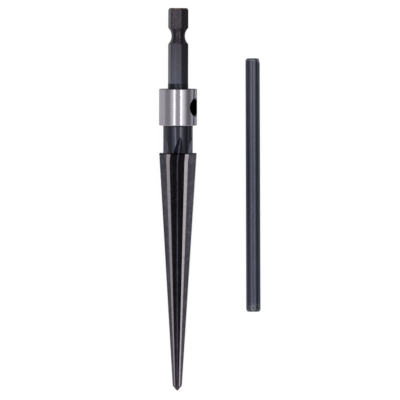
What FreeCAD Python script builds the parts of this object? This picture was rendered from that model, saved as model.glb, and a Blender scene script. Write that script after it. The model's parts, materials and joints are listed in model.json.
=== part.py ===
import FreeCAD, Part
import math
import os

import Sketcher
from FreeCAD import Placement, Rotation, Vector

# Hand taper reamer: a fluted taper on a hex shank, a pressed steel collar with a cross hole,
# and the loose bar that goes through that hole as a handle. The reamer lies on its lowest
# land, with the bar beside it. Lengths are millimetres and angles are degrees.

os.makedirs("parts", exist_ok=True)
doc = FreeCAD.newDocument("hand_taper_reamer")
sheet = doc.addObject("Spreadsheet::Sheet", "sizes")

driving_sizes = {
    # Cutting taper, from the point up to its shoulder
    "point_angle": 78,
    "point_flat_diameter": 0.5,
    "small_end_diameter": 3.3,
    "large_end_diameter": 13.1,
    "fluted_length": 83.0,
    "shoulder_chamfer": 0.2,
    # Flutes, with the widths and depths that they have at the large end
    "flute_count": 6,
    "flute_turn": -2.7,
    "land_angle": 12.0,
    "web_diameter": 5.5,
    "root_radius": 0.5,
    "cutter_radius": 19.0,
    "cutter_lean": 8.0,
    "runout_reach": 13.0,
    "runout_start": 2.8,
    # Neck and the seat that the collar is pressed on
    "neck_diameter": 10.3,
    "neck_length": 9.6,
    "seat_diameter": 8.0,
    # Collar and the cross hole for the bar
    "collar_diameter": 13.2,
    "collar_length": 12.7,
    "collar_chamfer": 0.2,
    "bore_chamfer": 0.4,
    "cross_hole_diameter": 5.9,
    "cross_hole_turn": 64.6,
    "countersink": 0.45,
    # Hex shank with its detent groove
    "shank_round_diameter": 7.1,
    "round_band_length": 1.7,
    "hex_across_flats": 6.35,
    "hex_length": 26.35,
    "hex_turn": -13.2,
    "shank_chamfer_depth": 0.5,
    "shank_chamfer_length": 0.7,
    "groove_diameter": 4.65,
    "groove_radius": 3.9,
    "groove_from_end": 9.7,
    # Loose bar, and where it lies beside the reamer
    "bar_diameter": 5.0,
    "bar_length": 88.3,
    "bar_chamfer_depth": 0.45,
    "bar_chamfer_length": 0.65,
    "nick_depth": 0.4,
    "nick_length": 1.6,
    "bar_beside": 26.2,
    "bar_middle": 71.8,
    "bar_lean": 0.37,
    # How far a cut runs past the surface that it leaves, and a flute's section past the land
    "overrun": 1.0,
    "flute_spread": 1.25,
}
hex_sides = 6
full_turn = 360
# Cubic millimetres: a cut that takes less than this has missed the piece
smallest_cut = 0.01

for row, (name, number) in enumerate(driving_sizes.items(), start=1):
    sheet.set(f"A{row}", name)
    sheet.set(f"B{row}", str(number))
    sheet.setAlias(f"B{row}", name)
doc.recompute()


def value(expression):
    """The number that an expression in the sheet's names gives."""
    result = sheet.evalExpression(expression)
    return float(getattr(result, "Value", result))


def new_body(name):
    """An empty body, labelled with its node's name."""
    body = doc.addObject("PartDesign::Body", name)
    body.Label = name
    return body


def origin_feature(body, role):
    """The body's own origin plane or axis with this role."""
    for feature in body.Origin.OriginFeatures:
        if feature.Role == role:
            return feature
    raise RuntimeError("no origin feature " + role)


def attach(feature, support, axis, height, turn):
    """Ties a feature to a plane, moved along one of the plane's axes and turned about it."""
    along = {"y": Vector(0, 1, 0), "z": Vector(0, 0, 1)}[axis]
    feature.AttachmentSupport = [(support, "")]
    feature.MapMode = "FlatFace"
    feature.AttachmentOffset = Placement(along * value(height), Rotation(along, value(turn)))
    feature.setExpression("AttachmentOffset.Base." + axis, height)
    feature.setExpression("AttachmentOffset.Rotation.Angle", turn)


def new_sketch(body, name, plane, height="0", turn="0"):
    """A sketch at a height along the piece's axis, turned about that axis."""
    sketch = body.newObject("Sketcher::SketchObject", name)
    axis = "z" if plane == "XY_Plane" else "y"
    attach(sketch, origin_feature(body, plane), axis, height, turn)
    return sketch


def hold(sketch, geometry, point, x, y):
    """Ties one point of the sketch to two expressions, or to an axis where one is 0."""
    for kind, axis, expression in (("DistanceX", -2, x), ("DistanceY", -1, y)):
        if expression == "0":
            sketch.addConstraint(Sketcher.Constraint("PointOnObject", geometry, point, axis))
            continue
        tie = Sketcher.Constraint(kind, -1, 1, geometry, point, value(expression))
        index = sketch.addConstraint(tie)
        sketch.setExpression(f"Constraints[{index}]", expression)


def set_radius(sketch, geometry, expression):
    """Ties the radius of an arc or circle to an expression."""
    index = sketch.addConstraint(Sketcher.Constraint("Radius", geometry, value(expression)))
    sketch.setExpression(f"Constraints[{index}]", expression)


def draw_outline(sketch, corners):
    """A closed outline of straight sides, drawn counter-clockwise through its corners."""
    points = [Vector(value(x), value(y), 0) for x, y in corners]
    count = len(points)
    for index in range(count):
        side = Part.LineSegment(points[index], points[(index + 1) % count])
        sketch.addGeometry(side, False)
    for index in range(count):
        following = (index + 1) % count
        sketch.addConstraint(Sketcher.Constraint("Coincident", index, 2, following, 1))
    for index, (x, y) in enumerate(corners):
        hold(sketch, index, 1, x, y)


def draw_vee(sketch, apex, side, top, root_radius):
    """A symmetrical vee with a rounded root: apex on the axis, top corners at side and top."""
    low = Vector(0, value(apex), 0)
    right = Vector(value(side), value(top), 0)
    left = Vector(-value(side), value(top), 0)
    radius = value(root_radius)
    up_right = (right - low).normalize()
    half_angle = math.atan2(up_right.x, up_right.y)
    centre = low + Vector(0, radius / math.sin(half_angle), 0)
    foot = low + up_right * (radius / math.tan(half_angle))
    mirrored_foot = Vector(-foot.x, foot.y, 0)
    circle = Part.Circle(centre, Vector(0, 0, 1), radius)
    right_side = sketch.addGeometry(Part.LineSegment(foot, right), False)
    lid = sketch.addGeometry(Part.LineSegment(right, left), False)
    left_side = sketch.addGeometry(Part.LineSegment(left, mirrored_foot), False)
    root = sketch.addGeometry(
        Part.ArcOfCircle(circle, math.pi + half_angle, 2 * math.pi - half_angle), False)
    corner = sketch.addGeometry(Part.Point(low), True)
    sketch.addConstraint([
        Sketcher.Constraint("Coincident", right_side, 2, lid, 1),
        Sketcher.Constraint("Coincident", lid, 2, left_side, 1),
        Sketcher.Constraint("Tangent", left_side, 2, root, 1),
        Sketcher.Constraint("Tangent", root, 2, right_side, 1),
        Sketcher.Constraint("PointOnObject", corner, 1, right_side),
        Sketcher.Constraint("PointOnObject", corner, 1, left_side),
    ])
    hold(sketch, corner, 1, "0", apex)
    hold(sketch, right_side, 2, side, top)
    hold(sketch, left_side, 1, "-(" + side + ")", top)
    set_radius(sketch, root, root_radius)


def add_feature(body, kind, name, sketch):
    """A feature made from one sketch, added at the end of the body."""
    feature = body.newObject("PartDesign::" + kind, name)
    feature.Profile = (sketch, [""])
    sketch.Visibility = False
    return feature


def revolve(body, kind, name, sketch, axis):
    """A full turn of the sketch about one of its own axes, added or cut away."""
    feature = add_feature(body, kind, name, sketch)
    feature.ReferenceAxis = (sketch, [axis])
    feature.Angle = full_turn
    return feature


def repeat_round(body, name, features, count):
    """Repeats features evenly about the piece's axis."""
    pattern = body.newObject("PartDesign::PolarPattern", name)
    pattern.Originals = features
    pattern.Axis = (origin_feature(body, "Z_Axis"), [""])
    pattern.Angle = full_turn
    pattern.Occurrences = int(round(value(count)))
    if count.startswith("sizes."):
        pattern.setExpression("Occurrences", count)
    body.Tip = pattern
    return pattern


def drill_cross_hole(body, name, height):
    """Cuts the cross hole right through, with a countersink where it leaves the collar."""
    past_collar = "(sizes.collar_diameter / 2 + sizes.overrun)"
    sink_start = "(sizes.collar_diameter / 2 - sizes.countersink)"
    radius = "sizes.cross_hole_diameter / 2"
    flare = f"{radius} + {past_collar} - {sink_start}"
    sketch = new_sketch(body, name + "_outline", "XZ_Plane", height,
                        "sizes.cross_hole_turn - 90")
    draw_outline(sketch, [
        ("-" + past_collar, "0"),
        (past_collar, "0"),
        (past_collar, flare),
        (sink_start, radius),
        ("-" + sink_start, radius),
        ("-" + past_collar, flare),
    ])
    return revolve(body, "Groove", name, sketch, "H_Axis")


def must_remove(body, feature, before):
    """Stops the build where a cut has taken nothing away."""
    doc.recompute()
    if body.Shape.Volume > before - smallest_cut:
        raise RuntimeError(feature.Name + " cut nothing")
    return body.Shape.Volume


# Stations along the reamer's axis, from the point to the end of the shank
small_radius = "sizes.small_end_diameter / 2"
large_radius = "sizes.large_end_diameter / 2"
point_top = ("((sizes.small_end_diameter - sizes.point_flat_diameter) / 2"
             " / tan(sizes.point_angle / 2))")
shoulder = "sizes.fluted_length"
collar_low = f"({shoulder} + sizes.neck_length)"
collar_high = f"({collar_low} + sizes.collar_length)"
collar_middle = f"({collar_low} + sizes.collar_length / 2)"
hex_low = f"({collar_high} + sizes.round_band_length)"
shank_top = f"({hex_low} + sizes.hex_length)"

# Reamer: turned blank
reamer = new_body("fluted_reamer")
blank_outline = new_sketch(reamer, "blank_outline", "XZ_Plane")
shank_radius = "sizes.shank_round_diameter / 2"
draw_outline(blank_outline, [
    ("0", "0"),
    ("sizes.point_flat_diameter / 2", "0"),
    (small_radius, point_top),
    (large_radius, shoulder + " - sizes.shoulder_chamfer"),
    (large_radius + " - sizes.shoulder_chamfer", shoulder),
    ("sizes.neck_diameter / 2", shoulder),
    ("sizes.neck_diameter / 2", collar_low),
    ("sizes.seat_diameter / 2", collar_low),
    ("sizes.seat_diameter / 2", collar_high + " - sizes.bore_chamfer"),
    (shank_radius, collar_high + " - sizes.bore_chamfer"),
    (shank_radius, shank_top + " - sizes.shank_chamfer_length"),
    (shank_radius + " - sizes.shank_chamfer_depth", shank_top),
    ("0", shank_top),
])
revolve(reamer, "Revolution", "turned_blank", blank_outline, "V_Axis")
doc.recompute()
volume = reamer.Shape.Volume

# Reamer: six flats milled on the round shank
flat_sketch = new_sketch(reamer, "flat_outline", "XY_Plane", shank_top, "sizes.hex_turn - 90")
flat_outside = "sizes.shank_round_diameter / 2 + sizes.overrun"
draw_outline(flat_sketch, [
    ("sizes.hex_across_flats / 2", "-" + shank_radius),
    (flat_outside, "-" + shank_radius),
    (flat_outside, shank_radius),
    ("sizes.hex_across_flats / 2", shank_radius),
])
flat = add_feature(reamer, "Pocket", "hex_flat", flat_sketch)
flat.Type = "Length"
flat.setExpression("Length", "sizes.hex_length")
volume = must_remove(reamer, flat, volume)
flats = repeat_round(reamer, "hex_flats", [flat], str(hex_sides))
volume = must_remove(reamer, flats, volume)

# Reamer: round detent groove, where a quick-change holder's ball sits
groove_outline = new_sketch(reamer, "groove_outline", "XZ_Plane")
groove_middle = ("sizes.groove_diameter / 2 + sizes.groove_radius",
                 shank_top + " - sizes.groove_from_end")
groove_circle = groove_outline.addGeometry(
    Part.Circle(Vector(value(groove_middle[0]), value(groove_middle[1]), 0),
                Vector(0, 0, 1), value("sizes.groove_radius")), False)
hold(groove_outline, groove_circle, 3, *groove_middle)
set_radius(groove_outline, groove_circle, "sizes.groove_radius")
groove = revolve(reamer, "Groove", "detent_groove", groove_outline, "V_Axis")
volume = must_remove(reamer, groove, volume)


# Which way the first flute faces
flute_facing = "180 + sizes.flute_turn"


def taper_radius(height):
    """The land's radius at a height on the taper, also past its ends."""
    slope = f"({large_radius} - {small_radius}) / ({shoulder} - {point_top})"
    return f"({small_radius} + ({height} - {point_top}) * {slope})"


def flute_apex(height):
    """How far from the axis the point of the flute's vee is at a height."""
    return f"{taper_radius(height)} * sizes.web_diameter / sizes.large_end_diameter"


def flute_section(name, height):
    """The flute's section at a height, drawn past the land: it all shrinks with the taper."""
    radius = taper_radius(height)
    apex = flute_apex(height)
    half_flute = "(180 / sizes.flute_count - sizes.land_angle / 2)"
    side = f"sizes.flute_spread * {radius} * sin({half_flute})"
    top = f"{apex} + sizes.flute_spread * ({radius} * cos({half_flute}) - {apex})"
    root_radius = f"sizes.root_radius * {radius} / ({large_radius})"
    sketch = new_sketch(reamer, name, "XY_Plane", height, flute_facing)
    draw_vee(sketch, apex, side, top, root_radius)
    return sketch


# Reamer: one flute milled along the taper
flute_start = "-sizes.overrun"
flute_end = f"({shoulder} - sizes.runout_start)"
start_section = flute_section("flute_start", flute_start)
end_section = flute_section("flute_end", flute_end)
flute = add_feature(reamer, "SubtractiveLoft", "flute", start_section)
flute.Sections = [(end_section, [""])]
flute.Ruled = True
volume = must_remove(reamer, flute, volume)

# Reamer: the cutter's way out through the neck, an arc that leans to one side as it rises
runout_section = flute_section("runout_section", flute_end)
cutter_frame = reamer.newObject("PartDesign::Plane", "cutter_frame")
attach(cutter_frame, origin_feature(reamer, "XY_Plane"), "z", flute_end, flute_facing)
cutter_path = reamer.newObject("Sketcher::SketchObject", "cutter_path")
attach(cutter_path, cutter_frame, "y", "0", "-(90 + sizes.cutter_lean)")
cutter_height = f"({flute_apex(flute_end)} + sizes.cutter_radius)"
cutter_radius = value("sizes.cutter_radius")
cutter_circle = Part.Circle(Vector(0, value(cutter_height), 0), Vector(0, 0, 1), cutter_radius)
straight_down = -math.pi / 2
swing = math.asin(value("sizes.runout_reach") / cutter_radius)
cutter_arc = cutter_path.addGeometry(
    Part.ArcOfCircle(cutter_circle, straight_down, straight_down + swing), False)
hold(cutter_path, cutter_arc, 3, "0", cutter_height)
set_radius(cutter_path, cutter_arc, "sizes.cutter_radius")
cutter_path.addConstraint(Sketcher.Constraint("PointOnObject", cutter_arc, 1, -2))
reach = Sketcher.Constraint("DistanceX", -1, 1, cutter_arc, 2, value("sizes.runout_reach"))
reach_index = cutter_path.addConstraint(reach)
cutter_path.setExpression(f"Constraints[{reach_index}]", "sizes.runout_reach")
runout = add_feature(reamer, "SubtractivePipe", "flute_runout", runout_section)
runout.Spine = (cutter_path, ["Edge1"])
runout.Mode = "Fixed"
volume = must_remove(reamer, runout, volume)
flutes = repeat_round(reamer, "flutes", [flute, runout], "sizes.flute_count")
volume = must_remove(reamer, flutes, volume)

reamer_hole = drill_cross_hole(reamer, "cross_hole", collar_middle)
volume = must_remove(reamer, reamer_hole, volume)

# Collar: a turned ring, pressed on the seat against the neck
collar = new_body("collar")
collar_radius = "sizes.collar_diameter / 2"
bore_radius = "sizes.seat_diameter / 2"
ring_outline = new_sketch(collar, "ring_outline", "XZ_Plane")
draw_outline(ring_outline, [
    (bore_radius, collar_low),
    (collar_radius + " - sizes.collar_chamfer", collar_low),
    (collar_radius, collar_low + " + sizes.collar_chamfer"),
    (collar_radius, collar_high + " - sizes.collar_chamfer"),
    (collar_radius + " - sizes.collar_chamfer", collar_high),
    (bore_radius + " + sizes.bore_chamfer", collar_high),
    (bore_radius, collar_high + " - sizes.bore_chamfer"),
])
revolve(collar, "Revolution", "ring", ring_outline, "V_Axis")
doc.recompute()
ring_volume = collar.Shape.Volume
collar_hole = drill_cross_hole(collar, "collar_cross_hole", collar_middle)
must_remove(collar, collar_hole, ring_volume)

# Loose bar: a turned pin with chamfered ends and one ground nick
bar = new_body("turning_bar")
bar_radius = "sizes.bar_diameter / 2"
bar_outline = new_sketch(bar, "bar_outline", "XZ_Plane")
draw_outline(bar_outline, [
    ("0", "0"),
    (bar_radius + " - sizes.bar_chamfer_depth", "0"),
    (bar_radius, "sizes.bar_chamfer_length"),
    (bar_radius, "sizes.bar_length - sizes.bar_chamfer_length"),
    (bar_radius + " - sizes.bar_chamfer_depth", "sizes.bar_length"),
    ("0", "sizes.bar_length"),
])
revolve(bar, "Revolution", "turned_bar", bar_outline, "V_Axis")
doc.recompute()
bar_volume = bar.Shape.Volume

nick_low = "sizes.bar_length - sizes.nick_length"
nick_outline = new_sketch(bar, "nick_outline", "XZ_Plane")
draw_outline(nick_outline, [
    (bar_radius, nick_low),
    (bar_radius + " + sizes.overrun", nick_low),
    (bar_radius + " + sizes.overrun", "sizes.bar_length + sizes.overrun"),
    (bar_radius + " - sizes.nick_depth", "sizes.bar_length + sizes.overrun"),
    (bar_radius + " - sizes.nick_depth", "sizes.bar_length"),
])
nick = add_feature(bar, "Pocket", "ground_nick", nick_outline)
nick.Type = "Length"
nick.SideType = "Symmetric"
nick.setExpression("Length", "sizes.bar_diameter")
must_remove(bar, nick, bar_volume)


# How the reamer lies: on its lowest land edge at the point, and on that land's upper end or
# the collar, whichever stands out further
land_edge_turn = math.radians(
    180 / value("sizes.flute_count") - value("sizes.land_angle") / 2
    - abs(value("sizes.flute_turn")))
point_hold = value(small_radius) * math.cos(land_edge_turn)
land_hold = value(large_radius) * math.cos(land_edge_turn)
land_rise = (land_hold - point_hold) / (
    value(shoulder) - value("sizes.shoulder_chamfer") - value(point_top))
collar_rise = (value(collar_radius) - point_hold) / (
    value(collar_low) + value("sizes.collar_chamfer") - value(point_top))
tilt = math.atan(max(land_rise, collar_rise))


def lay_reamer(lie):
    """The reamer's placement at a tilt, with its lowest land edge on the surface at the point."""
    turn = Rotation(Vector(1, 0, 0), math.degrees(lie) - 90)
    contact = turn.multVec(Vector(0, point_hold, value(point_top)))
    return Placement(Vector(0, 0, -contact.z), turn)


# The run-out leaves the lands a little wider at their upper end, so the reamer rocks on by
# what that end would sink
reamer.Placement = lay_reamer(tilt)
doc.recompute()
sink = -reamer.Shape.optimalBoundingBox(False, False).ZMin
tilt = tilt + math.atan(sink / (value(shoulder) - value(point_top)))
reamer_placement = lay_reamer(tilt)
point_end = reamer_placement.multVec(Vector(0, 0, 0))

# The bar lies beside it, leaning a little
bar_turn = Rotation(Vector(0, 0, 1), value("sizes.bar_lean")) * Rotation(Vector(1, 0, 0), -90)
half_bar = bar_turn.multVec(Vector(0, 0, value("sizes.bar_length") / 2))
bar_middle_place = Vector(
    value("sizes.bar_beside"), point_end.y + value("sizes.bar_middle"), value(bar_radius))
bar_place = bar_middle_place - half_bar

placements = {
    reamer: reamer_placement,
    collar: reamer_placement,
    bar: Placement(bar_place, bar_turn),
}
for body, placement in placements.items():
    body.Placement = placement
doc.recompute()

# The origin is the middle of the space that the pieces cover, on the surface they lie on
cover = FreeCAD.BoundBox()
for body in placements:
    cover.add(body.Shape.optimalBoundingBox(False, False))
middle = Vector(cover.Center.x, cover.Center.y, cover.ZMin)
for body, placement in placements.items():
    body.Placement = Placement(placement.Base - middle, placement.Rotation)
doc.recompute()

for item in doc.Objects:
    if "Invalid" in item.State or "Error" in item.State:
        raise RuntimeError(item.Name + " failed: " + ", ".join(item.State))
for body in placements:
    if body.Shape.isNull() or not body.Shape.isValid():
        raise RuntimeError(body.Label + " has no valid shape")
    if len(body.Shape.Solids) != 1:
        raise RuntimeError(body.Label + " is not one solid")
for body in placements:
    body.Shape.exportStep("parts/" + body.Label + ".step")
    box = body.Shape.optimalBoundingBox(False, False)
    print(body.Label, "volume", round(body.Shape.Volume, 1), "box",
          [round(edge, 3) for edge in (box.XMin, box.YMin, box.ZMin, box.XMax, box.YMax, box.ZMax)])
print("tilt", round(math.degrees(tilt), 3))
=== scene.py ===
import json
import math

import bpy
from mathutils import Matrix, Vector


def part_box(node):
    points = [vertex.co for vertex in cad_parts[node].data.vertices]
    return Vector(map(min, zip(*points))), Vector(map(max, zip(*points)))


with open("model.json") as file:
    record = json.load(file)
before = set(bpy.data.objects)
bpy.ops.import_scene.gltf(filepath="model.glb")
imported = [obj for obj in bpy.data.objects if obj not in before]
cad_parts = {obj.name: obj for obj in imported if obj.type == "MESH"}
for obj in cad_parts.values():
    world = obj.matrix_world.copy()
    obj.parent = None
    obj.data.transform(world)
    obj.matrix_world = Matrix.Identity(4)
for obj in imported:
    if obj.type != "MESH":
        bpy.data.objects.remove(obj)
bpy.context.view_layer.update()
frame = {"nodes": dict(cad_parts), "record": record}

# Fluted reamer
# One piece of tool steel: a round blank with six flutes milled down its taper and six flats
# milled on its shank, blackened all over. The cone was ground last, so only its lands are bright.
fluted_reamer = frame["nodes"]["fluted_reamer"]
mounts = {mount["name"]: mount for mount in frame["record"]["mounts"]}
reamer_axis = Vector(mounts["hex_shank"]["axis"])
hole_middle = Vector(mounts["bar_hole"]["pos_m"])
hole_axis = Vector(mounts["bar_hole"]["axis"])
point_to_hole = 0.09895
point_end = hole_middle - reamer_axis * point_to_hole
reamer_up = reamer_axis.cross(Vector((-1, 0, 0)))

small_end_radius = 0.00165
large_end_radius = 0.00655
point_top = 0.001729
shoulder = 0.0830
flute_count = 6
flute_turn = math.radians(-2.7)
relief_angle = math.radians(6)
collar_low = 0.0926
inside_collar = 0.1000
hex_low = 0.1070
hex_high = 0.1332
left_corner = math.radians(-43.2)
right_corner = math.radians(16.8)


def new_group(name, inputs, outputs):
    """An empty shader group with named sockets, and its input and output nodes."""
    group = bpy.data.node_groups.new(name, "ShaderNodeTree")
    for socket, kind in inputs.items():
        group.interface.new_socket(socket, in_out="INPUT", socket_type="NodeSocket" + kind)
    for socket, kind in outputs.items():
        group.interface.new_socket(socket, in_out="OUTPUT", socket_type="NodeSocket" + kind)
    return group, group.nodes.new("NodeGroupInput"), group.nodes.new("NodeGroupOutput")


def feed(tree, socket, source):
    """Links a socket to another node's output, or sets it to a plain value."""
    if isinstance(source, bpy.types.NodeSocket):
        tree.links.new(source, socket)
    else:
        socket.default_value = source


def calculate(tree, operation, *values):
    """A Math node's result."""
    node = tree.nodes.new("ShaderNodeMath")
    node.operation = operation
    for socket, source in zip(node.inputs, values):
        feed(tree, socket, source)
    return node.outputs["Value"]


def calculate_vector(tree, operation, *values, result="Vector"):
    """A Vector Math node's result."""
    node = tree.nodes.new("ShaderNodeVectorMath")
    node.operation = operation
    for socket, source in zip(node.inputs, values):
        feed(tree, socket, source)
    return node.outputs[result]


def fade(tree, source, low, high, to_low=0.0, to_high=1.0):
    """Runs smoothly from one value to another while the source goes from low to high."""
    node = tree.nodes.new("ShaderNodeMapRange")
    node.interpolation_type = "SMOOTHSTEP"
    feed(tree, node.inputs["Value"], source)
    feed(tree, node.inputs["From Min"], low)
    feed(tree, node.inputs["From Max"], high)
    feed(tree, node.inputs["To Min"], to_low)
    feed(tree, node.inputs["To Max"], to_high)
    return node.outputs["Result"]


def blend(tree, kind, amount, first, second):
    """The first input where the amount is 0, the second where it is 1, and more of it above 1."""
    node = tree.nodes.new("ShaderNodeMix")
    node.data_type = kind
    node.clamp_factor = False
    for name, source in (("Factor", amount), ("A", first), ("B", second)):
        feed(tree, node.inputs[name], source)
    return node.outputs["Result"]


def blend_colours(tree, amount, first, second):
    """The first colour where the amount is 0, and the second where it is 1."""
    return blend(tree, "RGBA", amount, first, second)


def blend_values(tree, amount, first, second):
    """The first number where the amount is 0, and the second where it is 1."""
    return blend(tree, "FLOAT", amount, first, second)


def shade_colour(tree, share, colour):
    """A colour at a share of its strength, from black at 0 to brighter than itself above 1."""
    return blend_colours(tree, share, (0.0, 0.0, 0.0, 1), colour)


def multiply_all(tree, *factors):
    """All the factors multiplied together."""
    result = factors[0]
    for factor in factors[1:]:
        result = calculate(tree, "MULTIPLY", result, factor)
    return result


def place_group(tree, group, **values):
    """Places a group in a tree, its inputs given by name with _ for each space."""
    node = tree.nodes.new("ShaderNodeGroup")
    node.node_tree = group
    for name, source in values.items():
        feed(tree, node.inputs[name.replace("_", " ")], source)
    return node.outputs


def build_stations():
    """Where a point is on a round piece: along its axis, out from it and around it."""
    group, given, results = new_group(
        "axis_stations",
        {"Start": "Vector", "Direction": "Vector", "Up": "Vector"},
        {"Along": "Float", "Out": "Float", "Around": "Float"})
    position = group.nodes.new("ShaderNodeTexCoord").outputs["Object"]
    start, direction, up = (given.outputs[name] for name in ("Start", "Direction", "Up"))
    arm = calculate_vector(group, "SUBTRACT", position, start)
    along = calculate_vector(group, "DOT_PRODUCT", arm, direction, result="Value")
    rise = calculate_vector(group, "DOT_PRODUCT", arm, up, result="Value")
    sideways = calculate_vector(group, "CROSS_PRODUCT", direction, up)
    side = calculate_vector(group, "DOT_PRODUCT", arm, sideways, result="Value")
    squares = calculate(group, "ADD", calculate(group, "MULTIPLY", rise, rise),
                        calculate(group, "MULTIPLY", side, side))
    group.links.new(along, results.inputs["Along"])
    group.links.new(calculate(group, "SQRT", squares), results.inputs["Out"])
    group.links.new(calculate(group, "ARCTAN2", side, rise), results.inputs["Around"])
    return group


def build_tool_marks():
    """Fine lines that a tool leaves, about Pitch apart in Across and Run long in With."""
    group, given, results = new_group(
        "tool_marks",
        {"Across": "Float", "With": "Float", "Pitch": "Float", "Run": "Float"},
        {"Height": "Float", "Tone": "Float"})
    spot = group.nodes.new("ShaderNodeCombineXYZ")
    across = calculate(group, "DIVIDE", given.outputs["Across"], given.outputs["Pitch"])
    along = calculate(group, "DIVIDE", given.outputs["With"], given.outputs["Run"])
    group.links.new(across, spot.inputs["X"])
    group.links.new(along, spot.inputs["Y"])
    fine = group.nodes.new("ShaderNodeTexNoise")
    fine.inputs["Scale"].default_value = 1.0
    fine.inputs["Detail"].default_value = 3.0
    fine.inputs["Roughness"].default_value = 0.6
    group.links.new(spot.outputs["Vector"], fine.inputs["Vector"])
    group.links.new(fine.outputs["Fac"], results.inputs["Height"])
    group.links.new(fade(group, fine.outputs["Fac"], 0.3, 0.7), results.inputs["Tone"])
    return group


def build_edge_wear_and_highlight():
    """A band Width to each side of an edge, not quite even, for edges rubbed bare and for painted
    edge highlights.
    """
    group, given, results = new_group(
        "edge_wear_and_highlight", {"Place": "Float", "Edge": "Float", "Width": "Float"}, {"Wear And Highlight": "Float"})
    position = group.nodes.new("ShaderNodeTexCoord").outputs["Object"]
    patches = group.nodes.new("ShaderNodeTexNoise")
    patches.inputs["Scale"].default_value = 1500.0
    group.links.new(position, patches.inputs["Vector"])
    off = calculate(group, "ABSOLUTE", calculate(group, "SUBTRACT", given.outputs["Place"],
                                                 given.outputs["Edge"]))
    share = calculate(group, "DIVIDE", off, given.outputs["Width"])
    line = fade(group, share, 0.2, 1.0, 1.0, 0.0)
    patchy = fade(group, patches.outputs["Fac"], 0.3, 0.6, 0.45, 1.0)
    group.links.new(calculate(group, "MULTIPLY", line, patchy), results.inputs["Wear And Highlight"])
    return group


def build_mottle():
    """Cloudy unevenness, as oil and oxide leave on steel."""
    group, given, results = new_group("mottle", {"Size": "Float"}, {"Tone": "Float"})
    position = group.nodes.new("ShaderNodeTexCoord").outputs["Object"]
    cloud = group.nodes.new("ShaderNodeTexNoise")
    cloud.inputs["Detail"].default_value = 4.0
    group.links.new(position, cloud.inputs["Vector"])
    scale = calculate(group, "DIVIDE", 1.0, given.outputs["Size"])
    group.links.new(scale, cloud.inputs["Scale"])
    group.links.new(fade(group, cloud.outputs["Fac"], 0.3, 0.7), results.inputs["Tone"])
    return group


stations = build_stations()
tool_marks = build_tool_marks()
edge_wear_and_highlight = build_edge_wear_and_highlight()
mottle = build_mottle()


def new_steel(name):
    """A material with its node tree and its Principled shader, set to bare metal."""
    material = bpy.data.materials.new(name)
    material.use_nodes = True
    shader = material.node_tree.nodes["Principled BSDF"]
    shader.inputs["Metallic"].default_value = 1.0
    return material, material.node_tree, shader


def raise_marks(tree, height, depth):
    """The normal of a surface raised by a height, where a height of 1 is this depth in metres."""
    bump = tree.nodes.new("ShaderNodeBump")
    bump.inputs["Strength"].default_value = 1.0
    bump.inputs["Distance"].default_value = depth
    tree.links.new(height, bump.inputs["Height"])
    return bump.outputs["Normal"]


def paint(node, material):
    """Gives a carried-over solid its material in every slot."""
    node.data.materials.clear()
    node.data.materials.append(material)


# Where one finish gives way to the next, in metres, in shares of the cone's radius at the flutes'
# roots, and in radians round the hex's corners.
finish_step = 0.0002
land_skin = 0.00004
below_land = 0.00009
lands_end = shoulder - 0.0003
# Where the painted shade along the shoulder's edge fades in.
dark_edge_low = shoulder - 0.0008
dark_edge_high = shoulder - 0.0004
root_low = 0.45
root_high = 0.78
corner_softness = 0.03
streak_depth = 0.000002


def find_reamer_zones(tree, place):
    """Masks of the reamer's differently finished zones, each 1 in its zone and 0 outside it."""
    along, out = place["Along"], place["Out"]
    taper = (large_end_radius - small_end_radius) / (shoulder - point_top)
    past_point = calculate(tree, "SUBTRACT", along, point_top)
    cone = calculate(tree, "MULTIPLY_ADD", past_point, taper, small_end_radius)
    below_cone = calculate(tree, "SUBTRACT", cone, out)
    on_cone = fade(tree, below_cone, land_skin, below_land, 1.0, 0.0)
    on_taper = fade(tree, along, lands_end, shoulder - finish_step, 1.0, 0.0)
    share_of_cone = calculate(tree, "DIVIDE", out, cone)
    near_root = fade(tree, share_of_cone, root_low, root_high, 1.0, 0.0)
    near_shoulder = fade(tree, along, dark_edge_low, dark_edge_high)
    past_shoulder = fade(tree, along, shoulder, shoulder + finish_step)
    before_shoulder = fade(tree, along, shoulder, shoulder + finish_step, 1.0, 0.0)
    before_hole = fade(tree, along, inside_collar, inside_collar + finish_step, 1.0, 0.0)
    return {
        "taper": on_taper,
        "lands": calculate(tree, "MULTIPLY", on_cone, on_taper),
        "flutes": calculate(tree, "MULTIPLY", on_taper, calculate(tree, "SUBTRACT", 1.0, on_cone)),
        "roots": calculate(tree, "MULTIPLY", on_taper, near_root),
        "shaded shoulder edge": calculate(tree, "MULTIPLY", near_shoulder, before_shoulder),
        "neck": calculate(tree, "MULTIPLY", past_shoulder, before_hole),
        "hex": fade(tree, along, hex_low, hex_low + 2 * finish_step),
    }


# How the oxide's colour strength changes along the reamer, with painted shade and a painted
# highlight among the steps: from, to, and its share before and after. The painted shade under the
# collar runs on up the shank. The next step lifts it to about half between the collar and the hex,
# and the step onto the hex lifts it off.
oxide_changes = {
    # painted highlight: the oxide paler towards the point
    "painted highlight towards the point": (point_top, 0.030, 1.6, 1.0),
    "from the flutes to the neck": (shoulder - finish_step, shoulder + finish_step, 0.57, 0.80),
    # painted shade on the neck under the collar, carried on up the shank
    "painted shade under the collar": (collar_low - 0.0006, collar_low - 0.0003, 1.0, 0.3),
    "from the neck to the shank": (inside_collar, inside_collar + finish_step, 1.0, 1.80),
    "stronger on the hex": (hex_low, hex_low + 2 * finish_step, 1.0, 1.88),
    "strongest at its lower end": (hex_low, hex_low + 0.018, 1.55, 1.0),
}


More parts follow.
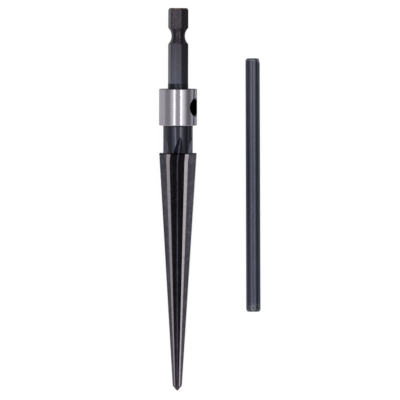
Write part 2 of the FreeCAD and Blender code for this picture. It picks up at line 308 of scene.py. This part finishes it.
def find_oxide_and_painted_light(tree, place, zones):
    """How strongly the oxide's colour shows, from its changes along the reamer and its marks, with
    painted shade, highlights and reflections among them.
    """
    along, around = place["Along"], place["Around"]
    bands = place_group(tree, tool_marks, Across=around, With=along, Pitch=0.13, Run=0.06)["Tone"]
    patches = place_group(tree, mottle, Size=0.0018)["Tone"]
    specks = place_group(tree, mottle, Size=0.0005)["Tone"]

    patched = calculate(tree, "MULTIPLY", fade(tree, patches, 0.0, 1.0, 0.84, 1.14),
                        fade(tree, bands, 0.0, 1.0, 0.90, 1.08))
    # Painted shade in the flutes' roots up the taper, turning to a painted highlight along them
    # towards the point.
    root_shade_and_highlight = fade(tree, along, 0.020, 0.075, 1.5, 0.93)
    speckled = fade(tree, specks, 0.0, 1.0, 0.72, 1.3)
    to_shank_end = fade(tree, along, 0.112, 0.128)
    # Painted reflection lightens the hex's left flat, and painted shade darkens its right-hand
    # flats.
    left_flat_painted_reflection = fade(tree, around, left_corner - corner_softness, left_corner, 1.5, 0.0)
    right_flat_painted_shade = fade(tree, around, right_corner, right_corner + corner_softness, 0.0, -0.28)
    painted_flat_light = calculate(tree, "ADD", left_flat_painted_reflection, right_flat_painted_shade)
    return multiply_all(
        tree,
        *(fade(tree, along, *change) for change in oxide_changes.values()),
        fade(tree, bands, 0.0, 1.0, 0.82, 1.15),
        # darkened to half as painted shade along the shoulder's edge
        fade(tree, zones["shaded shoulder edge"], 0.0, 1.0, 1.0, 0.5),
        blend_values(tree, zones["taper"], 1.0, patched),
        blend_values(tree, zones["roots"], 1.0, root_shade_and_highlight),
        blend_values(tree, to_shank_end, 1.0, speckled),
        calculate(tree, "MULTIPLY_ADD", painted_flat_light, zones["hex"], 1.0))


def colour_reamer(tree, place, zones):
    """Slate to plum oxide with painted shade, highlights and reflections in it, brown at the shank's
    end rim, dusky on the point, bright on the lands.
    """
    slate = (0.062, 0.064, 0.086, 1)
    plum = (0.070, 0.062, 0.073, 1)
    rust_brown = (0.20, 0.13, 0.11, 1)
    dusky = (0.16, 0.125, 0.14, 1)
    bright = (0.69, 0.63, 0.67, 1)
    dull_bright = (0.56, 0.51, 0.545, 1)
    along = place["Along"]
    cloud = place_group(tree, mottle, Size=0.006)["Tone"]
    rings = place_group(tree, tool_marks, Across=along, With=place["Around"],
                        Pitch=0.00022, Run=1.5)["Tone"]

    to_shank_end = fade(tree, along, 0.104, 0.132, 0.0, 0.9)
    to_flutes = fade(tree, along, 0.070, 0.092, 0.35, 0.0)
    plum_share = calculate(tree, "MULTIPLY_ADD", cloud, 0.2,
                           calculate(tree, "ADD", to_shank_end, to_flutes))
    # The oxide's colour carries painted shade, highlights and reflections.
    oxide = shade_colour(tree, find_oxide_and_painted_light(tree, place, zones),
                         blend_colours(tree, plum_share, slate, plum))
    patchy = place_group(tree, edge_wear_and_highlight, Place=along, Edge=hex_high, Width=0.0004)["Wear And Highlight"]
    at_rim = fade(tree, place["Out"], 0.0024, 0.0027)
    oxide = blend_colours(tree, calculate(tree, "MULTIPLY", patchy, at_rim), oxide, rust_brown)
    on_point = fade(tree, along, point_top - 0.0004, point_top, 0.9, 0.0)
    oxide = blend_colours(tree, on_point, oxide, dusky)
    return blend_colours(tree, zones["lands"], oxide,
                         blend_colours(tree, rings, dull_bright, bright))


def roughen_reamer(tree, place, zones, streaks):
    """Satin where it is milled, smoother on the turned neck and dull on the ground lands."""
    neck_roughness = 0.13
    land_roughness = 0.45
    milled = calculate(tree, "ADD", fade(tree, streaks, 0.0, 1.0, 0.26, 0.32),
                       fade(tree, place["Along"], shoulder - 0.004, shoulder, 0.08, 0.0))
    oxide = blend_values(tree, zones["neck"], milled, neck_roughness)
    return blend_values(tree, zones["lands"], oxide, land_roughness)


def relieve_lands(tree, place):
    """A height that rises across each flute's share of the cone, so that the lands have relief."""
    one_flute = 2 * math.pi / flute_count
    turned = calculate(tree, "SUBTRACT", place["Around"], flute_turn)
    across = calculate(tree, "FRACT", calculate(tree, "DIVIDE", turned, one_flute))
    slope = calculate(tree, "MULTIPLY", across, one_flute * math.tan(relief_angle))
    return calculate(tree, "MULTIPLY", slope, place["Out"])


def make_reamer_steel():
    """Black oxide steel with drawn lines on the shank, bright ground lands, and painted shade,
    highlights and reflections in the oxide.
    """
    material, tree, shader = new_steel("black_oxide_steel")
    place = place_group(tree, stations, Start=point_end, Direction=reamer_axis, Up=reamer_up)
    zones = find_reamer_zones(tree, place)
    streaks = place_group(tree, tool_marks, Across=place["Around"], With=place["Along"],
                          Pitch=0.02, Run=0.012)
    off_neck = calculate(tree, "SUBTRACT", 1.0, zones["neck"])
    lines = calculate(tree, "MULTIPLY", streaks["Height"], off_neck)
    normal = blend(tree, "VECTOR", zones["lands"], raise_marks(tree, lines, streak_depth),
                   raise_marks(tree, relieve_lands(tree, place), 1.0))
    roughness = roughen_reamer(tree, place, zones, streaks["Tone"])
    tree.links.new(colour_reamer(tree, place, zones), shader.inputs["Base Color"])
    tree.links.new(roughness, shader.inputs["Roughness"])
    tree.links.new(fade(tree, zones["flutes"], 0.0, 1.0, 1.0, 0.91), shader.inputs["Metallic"])
    tree.links.new(normal, shader.inputs["Normal"])
    return material


paint(fluted_reamer, make_reamer_steel())

# Collar
# A plain steel ring, turned bright on its outside and pressed on against the neck. Its end towards
# the shank is coloured dark. The cross hole was drilled through ring and shank together, and
# countersunk. The far side of its countersink and bore is darkened as painted shade.
collar = frame["nodes"]["collar"]
collar_high = 0.1053
countersink_edge = 0.0034
far_side_low = math.radians(57)
far_side_high = math.radians(62)
ring_depth = 0.0000002


def make_collar_steel():
    """Bright steel with the rings that a finishing cut leaves, and painted shade in the far side of
    the countersink and bore.
    """
    material, tree, shader = new_steel("bright_turned_steel")
    place = place_group(tree, stations, Start=point_end, Direction=reamer_axis, Up=reamer_up)
    rings = place_group(tree, tool_marks, Across=place["Along"], With=place["Around"],
                        Pitch=0.00012, Run=3.0)
    light_steel = (0.625, 0.595, 0.67, 1)
    grey_steel = (0.565, 0.54, 0.61, 1)
    dark_end = (0.09, 0.085, 0.10, 1)
    shaded_drilled_steel = (0.13, 0.125, 0.135, 1)
    turned = blend_colours(tree, rings["Tone"], light_steel, grey_steel)
    end_face = fade(tree, place["Along"], collar_high - 0.00022, collar_high - 0.00014)
    from_hole = place_group(tree, stations, Start=hole_middle, Direction=hole_axis, Up=reamer_axis)
    in_hole = fade(tree, from_hole["Out"], countersink_edge - 0.00008, countersink_edge, 1.0, 0.0)
    # Painted shade: the far side of the countersink and bore darkened.
    far_side = fade(tree, place["Around"], far_side_low, far_side_high)
    shaded_countersink = calculate(tree, "MULTIPLY", in_hole, far_side)
    faced = blend_colours(tree, end_face, turned, dark_end)
    tree.links.new(blend_colours(tree, shaded_countersink, faced, shaded_drilled_steel), shader.inputs["Base Color"])
    tree.links.new(fade(tree, rings["Tone"], 0.0, 1.0, 0.115, 0.125), shader.inputs["Roughness"])
    tree.links.new(raise_marks(tree, rings["Height"], ring_depth), shader.inputs["Normal"])
    return material


paint(collar, make_collar_steel())

# Turning bar
# A length of drawn steel bar, chamfered at both ends and blued. It is loose, and lies beside the
# reamer.
turning_bar = frame["nodes"]["turning_bar"]
bar_low, bar_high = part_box("turning_bar")
bar_lean = math.radians(0.37)
bar_axis = Vector((-math.sin(bar_lean), math.cos(bar_lean), 0))
bar_middle = (bar_low + bar_high) / 2
chamfer_edge = 0.0435
nick_edge = 0.0019
scuff_low = 0.0012
scuff_high = 0.0032


def make_bar_steel():
    """Blued steel with streaks along the bar, from the die that it was drawn through, with painted
    highlights, shade and reflections.
    """
    material, tree, shader = new_steel("blued_bar_steel")
    place = place_group(tree, stations, Start=bar_middle, Direction=bar_axis, Up=Vector((0, 0, 1)))
    streaks = place_group(tree, tool_marks, Across=place["Around"], With=place["Along"],
                          Pitch=0.05, Run=0.02)
    cloud = place_group(tree, mottle, Size=0.004)
    specks = place_group(tree, mottle, Size=0.0006)
    blue_black = (0.077, 0.083, 0.114, 1)
    black = (0.067, 0.071, 0.095, 1)
    grey_black = (0.098, 0.099, 0.123, 1)
    painted_blue_reflection = (0.120, 0.130, 0.190, 1)
    bare_steel_and_highlight = (0.42, 0.41, 0.43, 1)
    along, around = place["Along"], place["Around"]

    tone = calculate(tree, "MULTIPLY", cloud["Tone"], streaks["Tone"])
    blued = blend_colours(tree, tone, blue_black, black)
    to_upper_end = fade(tree, along, 0.0, 0.040, 0.0, 0.9)
    blued = blend_colours(tree, to_upper_end, blued, grey_black)
    # Painted highlight over the top, painted shade to the right of it, and a painted reflection
    # lighter along the right edge.
    painted_highlight_and_shade = fade(tree, around, math.radians(19), math.radians(27), 1.12, 0.72)
    painted_edge_reflection = fade(tree, around, math.radians(34), math.radians(50), 1.0, 1.35)
    blued = shade_colour(tree, calculate(tree, "MULTIPLY", painted_highlight_and_shade, painted_edge_reflection), blued)
    # Painted reflection: both sides tinted a lighter, deeper blue.
    on_left = fade(tree, around, math.radians(-52), math.radians(-8), 1.0, 0.0)
    on_right = fade(tree, around, math.radians(22), math.radians(40), 0.0, 0.45)
    blued = blend_colours(tree, calculate(tree, "MAXIMUM", on_left, on_right), blued, painted_blue_reflection)
    at_lower_end = fade(tree, along, scuff_low - chamfer_edge, scuff_high - chamfer_edge, 1.0, 0.0)
    scuffed = calculate(tree, "MULTIPLY", fade(tree, specks["Tone"], 0.45, 0.8, 0.0, 0.4),
                        at_lower_end)
    blued = blend_colours(tree, scuffed, blued, bare_steel_and_highlight)

    from_middle = calculate(tree, "ABSOLUTE", along)
    # Painted highlight along both chamfers' edges.
    rim_highlights = place_group(tree, edge_wear_and_highlight, Place=from_middle, Edge=chamfer_edge, Width=0.00016)["Wear And Highlight"]
    sideways = calculate(tree, "MULTIPLY", place["Out"], calculate(tree, "SINE", around))
    nick_rim = place_group(tree, edge_wear_and_highlight, Place=sideways, Edge=nick_edge, Width=0.0003)["Wear And Highlight"]
    beside_nick = fade(tree, along, chamfer_edge - 0.0011, chamfer_edge - 0.0008)
    highlight_and_wear = calculate(tree, "MAXIMUM", rim_highlights, calculate(tree, "MULTIPLY", nick_rim, beside_nick))
    tree.links.new(blend_colours(tree, highlight_and_wear, blued, bare_steel_and_highlight), shader.inputs["Base Color"])
    tree.links.new(fade(tree, streaks["Tone"], 0.0, 1.0, 0.27, 0.36), shader.inputs["Roughness"])
    tree.links.new(raise_marks(tree, streaks["Height"], streak_depth), shader.inputs["Normal"])
    return material


paint(turning_bar, make_bar_steel())

# Floor
# A wide white sheet that everything lies on. Looked at straight, it is mostly plain white, so
# that it runs to the picture's edge and still keeps the shadow. Metal shows a little of that white
# too, and more of it to the left of the reamer.
floor_reach = 3.0
floor_drop = 0.00002
card_grey = (0.58, 0.58, 0.58, 1)
white_strength = 1.24
shown_white = 0.75
mirrored_left = 0.14
mirrored_right = 0.04
mirror_low = -0.0170
mirror_high = -0.0070


def make_floor_white():
    """White card, lit by the lamps, and lifted to white where it is looked at."""
    material = bpy.data.materials.new("white_card")
    material.use_nodes = True
    tree = material.node_tree
    tree.nodes.clear()
    card = tree.nodes.new("ShaderNodeBsdfDiffuse")
    card.inputs["Color"].default_value = card_grey
    glow = tree.nodes.new("ShaderNodeEmission")
    glow.inputs["Strength"].default_value = white_strength
    path = tree.nodes.new("ShaderNodeLightPath")
    both = tree.nodes.new("ShaderNodeMixShader")
    mirrored = calculate(tree, "ADD", path.outputs["Is Glossy Ray"],
                         path.outputs["Is Transmission Ray"])
    spot = tree.nodes.new("ShaderNodeSeparateXYZ")
    tree.links.new(tree.nodes.new("ShaderNodeTexCoord").outputs["Object"], spot.inputs["Vector"])
    mirrored_white = fade(tree, spot.outputs["X"], mirror_low, mirror_high,
                          mirrored_left, mirrored_right)
    white = calculate(tree, "MULTIPLY_ADD", path.outputs["Is Camera Ray"], shown_white,
                      calculate(tree, "MULTIPLY", mirrored, mirrored_white))
    tree.links.new(white, both.inputs["Fac"])
    tree.links.new(card.outputs["BSDF"], both.inputs[1])
    tree.links.new(glow.outputs["Emission"], both.inputs[2])
    result = tree.nodes.new("ShaderNodeOutputMaterial")
    tree.links.new(both.outputs["Shader"], result.inputs["Surface"])
    return material


floor_mesh = bpy.data.meshes.new("floor")
floor_corners = [(-floor_reach, -floor_reach, 0), (floor_reach, -floor_reach, 0),
                 (floor_reach, floor_reach, 0), (-floor_reach, floor_reach, 0)]
floor_mesh.from_pydata(floor_corners, [], [(0, 1, 2, 3)])
floor_mesh.materials.append(make_floor_white())
floor = bpy.data.objects.new("floor", floor_mesh)
floor.location.z = -floor_drop
bpy.context.scene.collection.objects.link(floor)

# Light
# Two long strip lamps hang over the tool and along it, one on each side of the camera, in a soft
# grey room that is palest overhead and darkest on the right.
lamp_height = 0.8
lamp_length = 1.0
lamp_width = 0.085
lamp_brightness = 2.35
lamp_towards_point = 0.25


def hang_strip(name, angle):
    """A strip lamp along the tool, at an angle in degrees from straight above, turned to face it."""
    lamp = bpy.data.lights.new(name, "AREA")
    lamp.shape = "RECTANGLE"
    lamp.size = lamp_width
    lamp.size_y = lamp_length
    lamp.energy = lamp_brightness * math.pi * lamp_width * lamp_length
    holder = bpy.data.objects.new(name, lamp)
    lean = math.radians(angle)
    holder.location = (lamp_height * math.tan(lean), -lamp_towards_point, lamp_height)
    holder.rotation_euler = (0, lean, 0)
    bpy.context.scene.collection.objects.link(holder)


hang_strip("left_strip", -21.8)
hang_strip("right_strip", 19.5)


def light_room():
    """A grey room that glows round both strips and outwards from them, with a pale horizon."""
    world = bpy.data.worlds.new("grey_room")
    world.use_nodes = True
    room = world.node_tree
    way = room.nodes.new("ShaderNodeSeparateXYZ")
    direction = room.nodes.new("ShaderNodeTexCoord").outputs["Generated"]
    room.links.new(direction, way.inputs["Vector"])
    side, height = way.outputs["X"], way.outputs["Z"]
    angle = calculate(room, "DEGREES", calculate(room, "ARCTAN2", side, height))
    ceiling = fade(room, angle, -55, -10, 0.30, 0.44)
    ceiling = calculate(room, "ADD", ceiling, fade(room, angle, 25, 68, 0.0, -0.26))
    left_glow = calculate(room, "MULTIPLY", fade(room, angle, -58, -24, 0.0, 0.52),
                          fade(room, angle, -19, -8, 1.0, 0.0))
    right_glow = calculate(room, "MULTIPLY", fade(room, angle, 7, 17),
                           fade(room, angle, 22, 60, 0.66, 0.0))
    near_horizon = fade(room, calculate(room, "ABSOLUTE", height), 0.0, 0.25, 0.18, 0.0)
    at_sides = fade(room, calculate(room, "ABSOLUTE", side), 0.2, 0.8)
    strength = calculate(room, "MULTIPLY", near_horizon, at_sides)
    for glow in (ceiling, left_glow, right_glow):
        strength = calculate(room, "ADD", strength, glow)
    background = room.nodes["Background"]
    room.links.new(strength, background.inputs["Strength"])
    background.inputs["Color"].default_value = (1, 1, 1, 1)
    return world


bpy.context.scene.world = light_room()

# Camera
# A long lens looking straight down, with the tool upright in the picture, as it was photographed.
picture_width = 400
metres_per_pixel = 0.0003476
lens = 300
sensor = 36
looked_at = Vector((-0.00346, -0.00012, 0.007))
picture_roll = math.radians(0.18)

camera_data = bpy.data.cameras.new("camera")
camera_data.lens = lens
camera_data.sensor_width = sensor
camera_distance = lens / sensor * picture_width * metres_per_pixel
camera_data.clip_end = 10
camera = bpy.data.objects.new("camera", camera_data)
camera.location = looked_at + Vector((0, 0, camera_distance))
camera.rotation_euler = (0, 0, picture_roll)
bpy.context.scene.collection.objects.link(camera)
bpy.context.scene.camera = camera
bpy.context.scene.view_settings.view_transform = "Standard"
